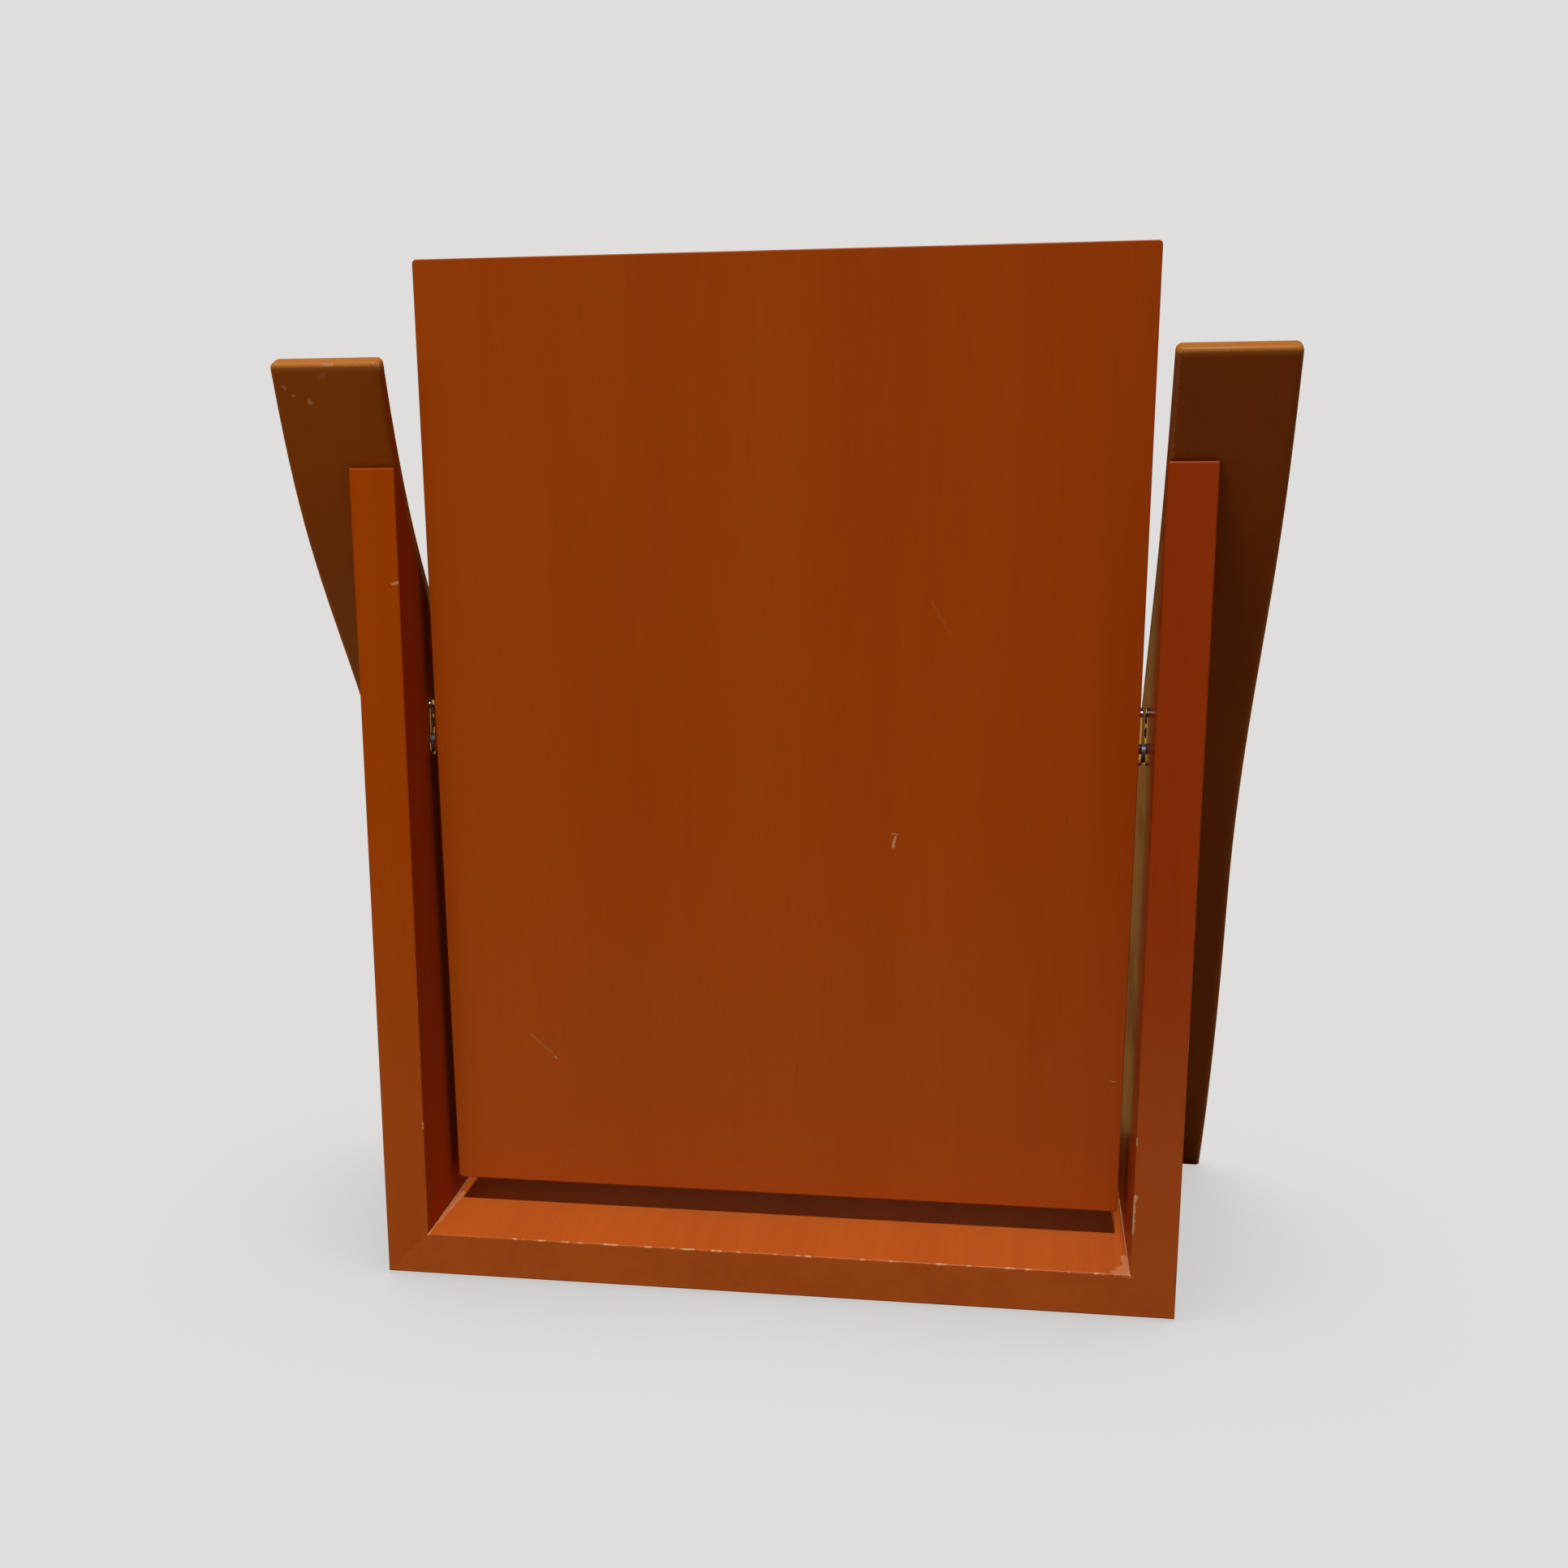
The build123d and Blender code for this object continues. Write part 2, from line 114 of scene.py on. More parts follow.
# %% [markdown]
# ## Veneer grain and painted falloff
# The boards are faced with a close-grained veneer. Under the stain only a little of its figure shows:
# broad soft bands, narrower streaks along the grain, and fine dark pores a few centimetres long. Three
# noises, each stretched along the grain, give the three scales. The place is first moved a little
# sideways by a slow noise, so that the bands sway as grain does. The Painted Falloff input paints one
# side of the board lighter than the other: painted light, for light that falls off across the board.
# The group takes the place on the piece with the grain along Z, so a board whose grain runs another
# way only has to turn that place.

# %% Group: grain with painted falloff
SWAY = 22 * MM


def about_zero(tree, value, size):
    """Turns noise from 0 to 1 into a value on both sides of zero."""
    return calc(tree, "MULTIPLY", calc(tree, "SUBTRACT", value, 0.5), size)


def build_veneer_grain():
    inputs = [
        ("Place", "Vector", (0, 0, 0)),
        ("Band", "Float", 0.4),
        ("Streak", "Float", 0.4),
        ("Fibre", "Float", 0.2),
        ("Painted Falloff", "Float", 0.0),
        ("Shift", "Vector", (0, 0, 0)),
    ]
    tree, taken, given = new_group("grain with painted falloff", inputs, [("Tone", "Float"), ("Pores", "Float")])
    place = vector_calc(tree, "ADD", taken["Place"], taken["Shift"]).outputs[0]
    sway = about_zero(tree, noise(tree, stretched(tree, place, 5.0, 1.6), 1.0, 1.0), SWAY)
    sway = node(tree, "CombineXYZ", {"X": sway, "Y": sway}).outputs[0]
    place = vector_calc(tree, "ADD", place, sway).outputs[0]
    band = noise(tree, stretched(tree, place, 14.0, 1.1), 1.0, 1.5)
    streak = noise(tree, stretched(tree, place, 110.0, 2.2), 1.0, 3.0, 0.6)
    fibre = noise(tree, stretched(tree, place, 620.0, 14.0), 1.0, 2.0, 0.6)
    # Painted light: the falloff adds a tone that grows along X, so one side of the board comes out
    # lighter.
    side = node(tree, "SeparateXYZ", {0: taken["Place"]}).outputs["X"]
    total = calc(tree, "MULTIPLY", side, taken["Painted Falloff"])
    for figure, size in ((band, "Band"), (streak, "Streak"), (fibre, "Fibre")):
        total = calc(tree, "ADD", total, about_zero(tree, figure, taken[size]))
    tree.links.new(calc(tree, "ADD", total, 0.5, clamp=True), given["Tone"])
    dash = noise(tree, stretched(tree, place, 900.0, 26.0), 1.0, 1.0)
    tree.links.new(ranged(tree, dash, 0.64, 0.74), given["Pores"])
    return tree


GRAIN_WITH_FALLOFF = build_veneer_grain()
print("group:", GRAIN_WITH_FALLOFF.name, [s.name for s in GRAIN_WITH_FALLOFF.interface.items_tree])

# %% [markdown]
# ## Worn edges
# Years of handling rub the lacquer and stain off the corners of the boards. The Bevel node gives a
# normal that is rounded near an edge. Where it differs from the surface's own normal there is an edge,
# and a noise breaks that line into rubbed and unrubbed lengths.

# %% Group: worn edges
def build_worn_edges():
    inputs = [
        ("Place", "Vector", (0, 0, 0)),
        ("Width", "Float", 1.2 * MM),
        ("Scale", "Float", 60.0),
        ("Cover", "Float", 0.5),
    ]
    tree, taken, given = new_group("worn edges", inputs, [("Rubbed", "Float")])
    rounded = node(tree, "Bevel", {"Radius": taken["Width"]}, samples=6).outputs[0]
    surface = node(tree, "NewGeometry").outputs["Normal"]
    match = vector_calc(tree, "DOT_PRODUCT", rounded, surface).outputs["Value"]
    edge = ranged(tree, match, 0.995, 0.87)
    patches = noise(tree, taken["Place"], taken["Scale"], 4.0, 0.65)
    limit = calc(tree, "SUBTRACT", 1.0, taken["Cover"])
    limit = calc(tree, "MULTIPLY", limit, 0.6)
    rubbed = calc(tree, "SUBTRACT", calc(tree, "MULTIPLY", edge, patches), limit)
    tree.links.new(ranged(tree, rubbed, 0.0, 0.12), given["Rubbed"])
    return tree


WORN_EDGES = build_worn_edges()
print("group:", WORN_EDGES.name)

# %% [markdown]
# ## Chips, scratches and painted highlights along a line
# A knock leaves a chip on an edge, and something dragged over a face leaves a scratch. Both lie along a
# short straight line. The group measures the distance from the place to a line between two points, makes
# its border ragged with noise, and leaves parts of it out when the cover is low. One group then serves a
# row of small chips along a whole edge as well as a single mark. It also draws pale strips that are
# painted highlights, where light catches the lacquer.

# %% Group: chips and painted highlights on a line
RAGGED = 2.4


def build_line_damage():
    inputs = [
        ("Place", "Vector", (0, 0, 0)),
        ("From", "Vector", (0, 0, 0)),
        ("To", "Vector", (0, 0, 1)),
        ("Width", "Float", 1.0 * MM),
        ("Cover", "Float", 1.0),
        ("Grit", "Float", 400.0),
    ]
    tree, taken, given = new_group("chips and painted highlights on a line", inputs, [("Mask", "Float")])
    line = vector_calc(tree, "SUBTRACT", taken["To"], taken["From"]).outputs[0]
    reach = vector_calc(tree, "SUBTRACT", taken["Place"], taken["From"]).outputs[0]
    along = vector_calc(tree, "DOT_PRODUCT", reach, line).outputs["Value"]
    length = vector_calc(tree, "DOT_PRODUCT", line, line).outputs["Value"]
    share = calc(tree, "DIVIDE", along, length, clamp=True)
    foot = node(tree, "VectorMath", {0: line, "Scale": share}, operation="SCALE").outputs[0]
    away = vector_calc(tree, "DISTANCE", reach, foot).outputs["Value"]
    away = calc(tree, "DIVIDE", away, taken["Width"])
    ragged = noise(tree, taken["Place"], taken["Grit"], 3.0, 0.7)
    away = calc(tree, "ADD", away, about_zero(tree, ragged, RAGGED))
    near = ranged(tree, away, 1.15, 0.85)
    groups = noise(tree, taken["Place"], calc(tree, "MULTIPLY", taken["Grit"], 0.22), 2.0, 0.6)
    kept = ranged(tree, calc(tree, "ADD", groups, taken["Cover"]), 0.98, 1.04)
    tree.links.new(calc(tree, "MULTIPLY", near, kept), given["Mask"])
    return tree


LINE_CHIP_AND_HIGHLIGHT = build_line_damage()
print("group:", LINE_CHIP_AND_HIGHLIGHT.name)

# %% [markdown]
# ## A change with the height
# Three things change with the height on a piece: dust lies thicker near the floor, the painted shade on
# the left side board fades out lower down, and the slats' pale ends, cut across the grain and rubbed,
# carry a painted highlight on their rounded rear edge. One group gives the share of such a change at a
# height: none at Start, and as much as Strength at Full.

# %% Group: change with the height
def build_height_change():
    inputs = [
        ("Place", "Vector", (0, 0, 0)),
        ("Start", "Float", 0.0),
        ("Full", "Float", 1.0),
        ("Strength", "Float", 1.0),
    ]
    tree, taken, given = new_group("change with the height", inputs, [("Share", "Float")])
    height = node(tree, "SeparateXYZ", {0: taken["Place"]}).outputs["Z"]
    share = calc(tree, "MULTIPLY", ranged(tree, height, taken["Start"], taken["Full"]), taken["Strength"])
    tree.links.new(share, given["Share"])
    return tree


HEIGHT_CHANGE = build_height_change()
print("group:", HEIGHT_CHANGE.name)

# %% [markdown]
# ## Handled lacquer
# The lacquer is semi-gloss. Its gloss isn't even: it has the slight unevenness of a sprayed coat, dull
# smudges where hands have been, and hair-fine scratches along the grain. The group gives a roughness and
# a height for the bump.

# %% Group: handled lacquer
def build_handled_lacquer():
    inputs = [
        ("Place", "Vector", (0, 0, 0)),
        ("Base Roughness", "Float", 0.36),
        ("Smudges", "Float", 0.12),
    ]
    outputs = [("Roughness", "Float"), ("Height", "Float")]
    tree, taken, given = new_group("handled lacquer", inputs, outputs)
    smudge = ranged(tree, noise(tree, taken["Place"], 16.0, 4.0, 0.6), 0.45, 0.7)
    hair = ranged(tree, noise(tree, stretched(tree, taken["Place"], 900, 60), 1.0, 1.0), 0.70, 0.78)
    rough = calc(tree, "MULTIPLY", smudge, taken["Smudges"])
    rough = calc(tree, "ADD", rough, taken["Base Roughness"])
    rough = calc(tree, "ADD", rough, calc(tree, "MULTIPLY", hair, 0.1), clamp=True)
    spray = noise(tree, taken["Place"], 260.0, 2.0)
    tree.links.new(rough, given["Roughness"])
    tree.links.new(calc(tree, "SUBTRACT", spray, calc(tree, "MULTIPLY", hair, 0.2)), given["Height"])
    return tree


HANDLED_LACQUER = build_handled_lacquer()
print("group:", HANDLED_LACQUER.name)

# %% [markdown]
# ## Lacquered veneer
# All the wood that shows has the same build-up: stained veneer under lacquer, with raw wood where it is
# chipped. It could be painted on the pieces as pictures, but then each piece would need its own picture,
# and it would blur close up. One function builds the finish from the groups instead. It takes the dark
# and light stain colours, which way the grain runs, how strong the figure is, the painted falloff, the
# lists of damaged lines and painted highlight lines, and the changes with the height. Some finishes carry
# painted light this way: a side painted lighter, pale lines painted as highlights, and darker colours
# painted as shade. The Principled BSDF stays here in the material, with the lacquer as its specular layer
# and a thin clear coat on top.

# %% Function: a lacquered wood finish
# The pale raw-wood colour of chips and rubbed edges. It is also the colour of the pale lines painted as
# highlights.
RAW_WOOD_AND_HIGHLIGHT = (0.70, 0.40, 0.20, 1)
PORE_DEPTH = 0.45
COAT_SHARE = 0.24
QUIET_FIGURE = (0.9, 0.35, 0.16)
GRAIN_UP = ((1, 0, 0), (0, 1, 0), (0, 0, 1))
GRAIN_ACROSS = ((0, 0, 1), (0, 1, 0), (1, 0, 0))
GRAIN_DEEP = ((1, 0, 0), (0, 0, 1), (0, 1, 0))


def start_material(name):
    """A new material with its Principled BSDF, and the place on the piece."""
    made = bpy.data.materials.new(name)
    made.use_nodes = True
    tree = made.node_tree
    place = tree.nodes.new("ShaderNodeTexCoord").outputs["Object"]
    return made, tree, tree.nodes["Principled BSDF"], place


def turned(tree, place, rows):
    """The place with its axes exchanged, so that the grain runs along Z."""
    parts = [vector_calc(tree, "DOT_PRODUCT", place, row).outputs["Value"] for row in rows]
    return node(tree, "CombineXYZ", {0: parts[0], 1: parts[1], 2: parts[2]}).outputs[0]


def bump(tree, height, strength, distance, below=None):
    """A bump from a height. It adds to the bump below it."""
    inputs = {"Height": height, "Strength": strength, "Distance": distance}
    if below is not None:
        inputs["Normal"] = below
    return node(tree, "Bump", inputs).outputs[0]


def mark(start, end, width, cover, strength):
    """A damaged line or a painted highlight line: its ends, its width in mm, how much of it shows and how
    strongly the pale raw-wood colour is laid on there.
    """
    return strength, {"From": start, "To": end, "Width": width * MM, "Cover": cover}


def zone(start, full, tint, strength):
    """A change of colour with the height, from none at the height start to its strength at full."""
    return tint, {"Start": start, "Full": full, "Strength": strength}


def lacquered_wood(name, dark, light, grain=GRAIN_UP, figure=QUIET_FIGURE, shift=(0, 0, 0),
                   painted_falloff=0.0, wear=None, marks=(), zones=(), shine=0.14):
    """A stained and lacquered wood finish, with its damaged lines, painted highlight lines, painted
    falloff and changes with the height.
    """
    made, tree, skin, place = start_material(name)
    along = turned(tree, place, grain)
    sizes = dict(zip(("Band", "Streak", "Fibre"), figure))
    veneer = use_group(tree, GRAIN_WITH_FALLOFF, {"Place": along, "Painted Falloff": painted_falloff, "Shift": shift, **sizes})
    lacquer = use_group(tree, HANDLED_LACQUER, {"Place": place})
    colour = blend(tree, veneer["Tone"], dark, light)
    pore = tuple(PORE_DEPTH * part for part in dark[:3]) + (1,)
    colour = blend(tree, calc(tree, "MULTIPLY", veneer["Pores"], 0.10), colour, pore)
    if wear is not None:
        edges = use_group(tree, WORN_EDGES, {"Place": place, "Cover": wear})
        rubbed = tuple(0.55 * a + 0.45 * b for a, b in zip(light, RAW_WOOD_AND_HIGHLIGHT))
        colour = blend(tree, calc(tree, "MULTIPLY", edges["Rubbed"], 0.8), colour, rubbed)
    for tint, change in zones:
        share = use_group(tree, HEIGHT_CHANGE, {"Place": place, **change})["Share"]
        colour = blend(tree, share, colour, tint)
    # Chips and scratches, and the pale lines painted as highlights, all build this one mask.
    raw_and_highlight = None
    for strength, line in marks:
        mask = use_group(tree, LINE_CHIP_AND_HIGHLIGHT, {"Place": place, **line})["Mask"]
        mask = calc(tree, "MULTIPLY", mask, strength)
        raw_and_highlight = mask if raw_and_highlight is None else calc(tree, "MAXIMUM", raw_and_highlight, mask)
    relief = bump(tree, veneer["Tone"], 0.25, 0.05 * MM)
    relief = bump(tree, lacquer["Height"], 0.12, 0.1 * MM, relief)
    rough = lacquer["Roughness"]
    if raw_and_highlight is not None:
        colour = blend(tree, raw_and_highlight, colour, RAW_WOOD_AND_HIGHLIGHT)
        rough = calc(tree, "ADD", rough, calc(tree, "MULTIPLY", raw_and_highlight, 0.4), clamp=True)
        relief = bump(tree, calc(tree, "SUBTRACT", 1.0, raw_and_highlight), 0.6, 0.3 * MM, relief)
    tree.links.new(colour, skin.inputs["Base Color"])
    tree.links.new(rough, skin.inputs["Roughness"])
    tree.links.new(relief, skin.inputs["Normal"])
    skin.inputs["Specular IOR Level"].default_value = shine
    skin.inputs["Coat Weight"].default_value = COAT_SHARE * shine
    skin.inputs["Coat Roughness"].default_value = 0.18
    return made


def give(material, *names):
    """Puts a finish on CAD nodes, whose meshes stay as they are."""
    for name in names:
        for place in nodes[name].material_slots:
            place.link = "OBJECT"
            place.material = material
        if not nodes[name].material_slots:
            nodes[name].data.materials.append(material)
    print(material.name, "->", ", ".join(names))


# %% [markdown]
# ## The stand
# The side boards and the base board are faced with the same orange-brown veneer. The grain runs up the
# side boards. On the base it runs from back to front, so the rear edge shows short upright streaks. The
# left side board is painted darker and redder, as shade where the light falls off towards that side;
# this painted shade fades out near its foot, where it matches the base. The base is painted lighter
# towards its +X end, for the same falloff. A thin film of dust lies over the lower half.
#
# The base's rear top edge is chipped along its full length, because the mirror's board and whatever is
# put on the base catch it. Pale strips along its two inner corners and a pale patch in one rear corner
# are painted highlights. A low stretch of the left board's edge is knocked raw. The marks are placed from
# the sizes of the boards, so they stay on the right edges.

# %% Sizes and colours of the stand
STAND_DARK = (0.43, 0.057, 0.0006, 1)
STAND_LIGHT = (0.55, 0.092, 0.0020, 1)
STAND_MIDDLE = (0.48, 0.074, 0.0013, 1)
# Painted shade: these darker, redder colours for the left side board stand for light that falls off
# towards that side.
SHADED_STAND_DARK = (0.34, 0.030, 0.0004, 1)
SHADED_STAND_LIGHT = (0.44, 0.052, 0.0012, 1)
DUST = (0.55, 0.46, 0.18, 1)
DUST_SHARE = 0.055
side_low, side_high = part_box("side_board_right")
base_low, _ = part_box("base_board")
REAR = side_high.y
INNER = side_low.x
BOARD = side_high.x - side_low.x
BASE_TOP = base_low.z + BOARD
print("rear face, inner faces, base top:", [round(v, 4) for v in (REAR, INNER, BASE_TOP)])

# %% Finish: base board
def on_base(x, depth):
    """A point of the base's top, so far in front of its rear edge."""
    return (x, REAR - depth, BASE_TOP)


base_marks = [
    mark(on_base(-0.17, 0), on_base(INNER, 0), 0.35, 0.55, 0.6),
    mark(on_base(-INNER, 0), on_base(INNER, 0), 0.8, 0.44, 0.85),
    # The next six lines are painted highlights: pale strips along both inner corners of the base and a
    # pale patch in the rear corner on the -X side.
    mark(on_base(INNER, 0), on_base(INNER, 0.12), 0.8, 0.75, 0.7),
    mark(on_base(INNER, 0.02), on_base(INNER - 0.003, 0.07), 2.4, 1.0, 0.3),
    mark(on_base(-INNER, 0), on_base(-INNER, 0.12), 0.6, 0.75, 0.7),
    mark(on_base(-INNER, 0.002), on_base(-INNER + 0.002, 0.026), 2.6, 1.0, 0.3),
    mark(on_base(-INNER, 0.003), on_base(-INNER + 0.009, 0.003), 3.0, 1.0, 0.3),
    mark(on_base(-INNER + 0.001, 0.012), on_base(-INNER + 0.005, 0.007), 4.0, 1.0, 0.3),
]
# Painted light: the falloff makes the base lighter towards its +X end.
base_finish = lacquered_wood(
    "stand veneer, base", STAND_DARK, STAND_LIGHT, GRAIN_DEEP, (1.2, 0.9, 0.3), painted_falloff=0.7,
    marks=base_marks, zones=[zone(BASE_TOP + 1.0, BASE_TOP, DUST, DUST_SHARE)],
)
give(base_finish, "base_board")

# %% Finish: side boards
DUST_FROM = 0.36
FOOT = 0.03


def on_rear(x, height):
    """A point of the stand's rear face."""
    return (x, REAR, height)


right_marks = [
    mark(on_rear(INNER, 0.4530), on_rear(INNER + 0.004, 0.4515), 0.8, 1.0, 0.6),
    mark(on_rear(INNER, 0.103), on_rear(INNER, 0.1065), 0.8, 1.0, 0.8),
    mark(on_rear(INNER, 0.08), on_rear(INNER, 0.50), 0.4, 0.40, 0.5),
]
right_finish = lacquered_wood(
    "stand veneer, right side", STAND_DARK, STAND_LIGHT, marks=right_marks, shine=0.0,
    zones=[zone(DUST_FROM, FOOT, DUST, DUST_SHARE)],
)
give(right_finish, "side_board_right")

left_marks = [
    mark(on_rear(-INNER, 0.058), on_rear(-INNER, 0.081), 1.2, 0.80, 0.9),
    mark(on_rear(-INNER, 0.0775), on_rear(-INNER - 0.001, 0.0815), 1.4, 1.0, 0.8),
    mark(on_rear(-INNER, 0.1155), on_rear(-INNER, 0.119), 0.9, 1.0, 0.8),
    mark(on_rear(-INNER - BOARD, 0.176), on_rear(-INNER - BOARD, 0.184), 0.5, 1.0, 0.5),
]
# Painted shade: the shaded colours darken and redden this board, and the first zone fades that painted
# shade out towards the foot.
left_finish = lacquered_wood(
    "stand veneer, left side", SHADED_STAND_DARK, SHADED_STAND_LIGHT, marks=left_marks, shift=(0.4, 0.2, 0),
    zones=[zone(0.24, FOOT, STAND_MIDDLE, 0.9), zone(DUST_FROM, FOOT, DUST, DUST_SHARE)],
)
give(left_finish, "side_board_left")

# %% [markdown]
# ## The curved slats
# The slats are bent plywood with a browner stain than the boards. The left one is painted darker, as
# shade where the light falls off towards that side. Their top ends are cut across the grain and have
# been rubbed pale, and that pale band also carries a painted highlight on the rounded rear top edge.
# Their corners are worn. A few specks of raw wood show on the right slat near its top. A pale tan strip
# along the left slat's inner rear edge is a painted sheen.

# %% Finish: slat veneer
SLAT_DARK = (0.36, 0.070, 0.0006, 1)
SLAT_LIGHT = (0.47, 0.105, 0.0020, 1)
# The pale end colours: end grain rubbed pale, which also carries a painted highlight on the rounded rear
# top edge.
PALE_END_WITH_HIGHLIGHT = (0.56, 0.19, 0.030, 1)
# Painted shade: the left slat's darker colours stand for light that falls off towards that side.
SHADED_SLAT_DARK = (0.25, 0.045, 0.0004, 1)
SHADED_SLAT_LIGHT = (0.35, 0.071, 0.0012, 1)
SHADED_PALE_END_WITH_HIGHLIGHT = (0.52, 0.175, 0.026, 1)
SLAT_FIGURE = (0.9, 0.4, 0.25)
SLAT_WEAR = 0.5
_, slat_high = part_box("curved_slat_right")
SLAT_TOP = slat_high.z
OUTER = slat_high.x
# The band below the top where the pale end colour takes over. Over the rounded rear edge it is a painted
# highlight.
RIM = (SLAT_TOP - 9 * MM, SLAT_TOP - 4.5 * MM)


def on_slat(x, depth, height):
    """A point near the slat's rear face, so far in front of its rearmost line."""
    return (x, slat_high.y - depth, height)


right_slat_marks = [
    mark(on_slat(0.2700, 0.0075, 0.5590), on_slat(0.2694, 0.0075, 0.5582), 1.3, 1.0, 0.6),
    mark(on_slat(0.2797, 0.0060, 0.5627), on_slat(0.2793, 0.0060, 0.5622), 1.0, 1.0, 0.4),
    mark(on_slat(0.2846, 0.0040, 0.5670), on_slat(0.2840, 0.0040, 0.5664), 1.1, 1.0, 0.4),
    mark(on_slat(0.2590, 0.0020, 0.5740), on_slat(0.2610, 0.0025, 0.5710), 1.6, 0.62, 0.13),
    mark(on_slat(INNER, 0, SLAT_TOP), on_slat(INNER, 0.002, SLAT_TOP - 0.006), 1.4, 0.8, 0.6),
    mark(on_slat(OUTER, 0, SLAT_TOP - 0.003), on_slat(OUTER, 0, SLAT_TOP - 0.012), 1.2, 0.7, 0.5),
    # A pale line across the rear face just below the top: partly rubbed wood, partly a painted highlight
    # on the rounded rear edge.
    mark(on_slat(INNER, 0, SLAT_TOP - 0.004), on_slat(OUTER, 0, SLAT_TOP - 0.004), 0.9, 0.42, 0.45),
]
right_slat = lacquered_wood(
    "slat veneer, right", SLAT_DARK, SLAT_LIGHT, wear=SLAT_WEAR, figure=SLAT_FIGURE,
    marks=right_slat_marks, zones=[zone(0.52, 0.36, DUST, 0.09), zone(*RIM, PALE_END_WITH_HIGHLIGHT, 1.0)],
)
give(right_slat, "curved_slat_right")

left_slat_marks = [
    # A painted sheen: a pale tan strip along the inner rear edge, for the sheen the inner face shows at a
    # grazing view.
    mark(on_slat(-INNER, 0.002, 0.575), on_slat(-INNER, 0.035, 0.49), 2.6, 1.0, 0.14),
    mark(on_slat(-INNER, 0, SLAT_TOP), on_slat(-INNER - 0.010, 0, SLAT_TOP), 1.6, 0.62, 0.6),
    # A pale line across the rear face just below the top: partly rubbed wood, partly a painted highlight
    # on the rounded rear edge.
    mark(on_slat(-INNER, 0, SLAT_TOP - 0.004), on_slat(-OUTER, 0, SLAT_TOP - 0.004), 0.9, 0.42, 0.4),
]
left_slat = lacquered_wood(
    "slat veneer, left", SHADED_SLAT_DARK, SHADED_SLAT_LIGHT, wear=SLAT_WEAR, figure=SLAT_FIGURE,
    marks=left_slat_marks, shift=(0.3, 0.1, 0.2),
    zones=[zone(0.45, 0.25, DUST, 0.035), zone(*RIM, SHADED_PALE_END_WITH_HIGHLIGHT, 1.0)],
)
give(left_slat, "curved_slat_left")

# %% [markdown]
# ## The mirror's back board and its border
# The back board is veneered in one sheet with the grain upright. Its figure is so quiet that only soft
# bands show, and the board is painted lighter towards its +X side, as light that falls off across it.
# It carries one deeper tick and a few fine scratches. The border strips round the glass are solid wood
# with the same stain.

# %% Finish: mirror back veneer and frame wood
_, back_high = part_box("mirror_back_board")
LEAN = math.radians(2.1)


def on_back(x, height):
    """A point of the back board's rear face at rest. The face leans back by the rest tilt."""
    return (x, back_high.y - (back_high.z - height) * math.tan(LEAN), height)


back_marks = [
    mark(on_back(-0.0735, 0.2925), on_back(-0.0722, 0.2865), 0.9, 1.0, 0.75),
    mark(on_back(-0.0750, 0.2945), on_back(-0.0715, 0.2950), 0.5, 1.0, 0.4),
    mark(on_back(0.1475, 0.1365), on_back(0.1490, 0.1380), 0.6, 1.0, 0.6),
    mark(on_back(0.1500, 0.1400), on_back(0.1650, 0.1530), 0.9, 0.7, 0.12),
    mark(on_back(-0.0934, 0.4380), on_back(-0.1054, 0.4187), 1.0, 1.0, 0.04),
    mark(on_back(-0.2143, 0.1369), on_back(-0.2110, 0.1372), 0.4, 1.0, 0.5),
]
# Painted light: the falloff makes the back board lighter towards its +X side.
back_finish = lacquered_wood(
    "mirror back veneer", STAND_DARK, STAND_LIGHT, wear=0.3, shift=(0.1, 0.7, 0.3), painted_falloff=0.6,
    marks=back_marks, zones=[zone(0.34, 0.06, DUST, 0.04)],
)
give(back_finish, "mirror_back_board")
strip_up = lacquered_wood("frame wood, upright", STAND_DARK, STAND_LIGHT, wear=0.4)
give(strip_up, "frame_strip_left", "frame_strip_right")
strip_across = lacquered_wood("frame wood, level", STAND_DARK, STAND_LIGHT, GRAIN_ACROSS, wear=0.4)
give(strip_across, "frame_strip_top", "frame_strip_bottom")

# %% [markdown]
# ## Silvered glass
# A mirror is clear float glass with silver behind it. Seen from the front it only mirrors, so its face
# is a perfectly smooth pale metal. Only its ground edge looks like glass, dull and green. Faint smudges
# take a little of the light away here and there.

# %% Finish: silvered glass
GROUND_EDGE = (0.16, 0.30, 0.24, 1)
SILVER = (0.90, 0.93, 0.915, 1)
SMUDGED_SILVER = (0.7, 0.72, 0.71, 1)


def build_silvered_glass():
    made, tree, skin, place = start_material("silvered glass")
    facing = tree.nodes.new("ShaderNodeTexCoord").outputs["Normal"]
    depth = node(tree, "SeparateXYZ", {0: facing}).outputs["Y"]
    face = ranged(tree, calc(tree, "ABSOLUTE", depth), 0.9, 0.97)
    smudge = ranged(tree, noise(tree, place, 9.0, 5.0, 0.65), 0.60, 0.80)
    colour = blend(tree, face, GROUND_EDGE, SILVER)
    colour = blend(tree, calc(tree, "MULTIPLY", smudge, 0.2), colour, SMUDGED_SILVER)
    tree.links.new(colour, skin.inputs["Base Color"])
    tree.links.new(ranged(tree, face, 0.0, 1.0, 0.4, 0.0), skin.inputs["Roughness"])
    tree.links.new(face, skin.inputs["Metallic"])
    return made


give(build_silvered_glass(), "mirror_glass")

# %% [markdown]
# ## Metal fittings
# The pivot plates and screws are chromed, the pins are turned steel and the bushes turned brass. Chrome
# mirrors almost sharply, with a slight haze and some spots where it has dulled. Turned metal has fine
# rings round its axis, which here lies along X, so noise that changes fast along X gives the tool marks.

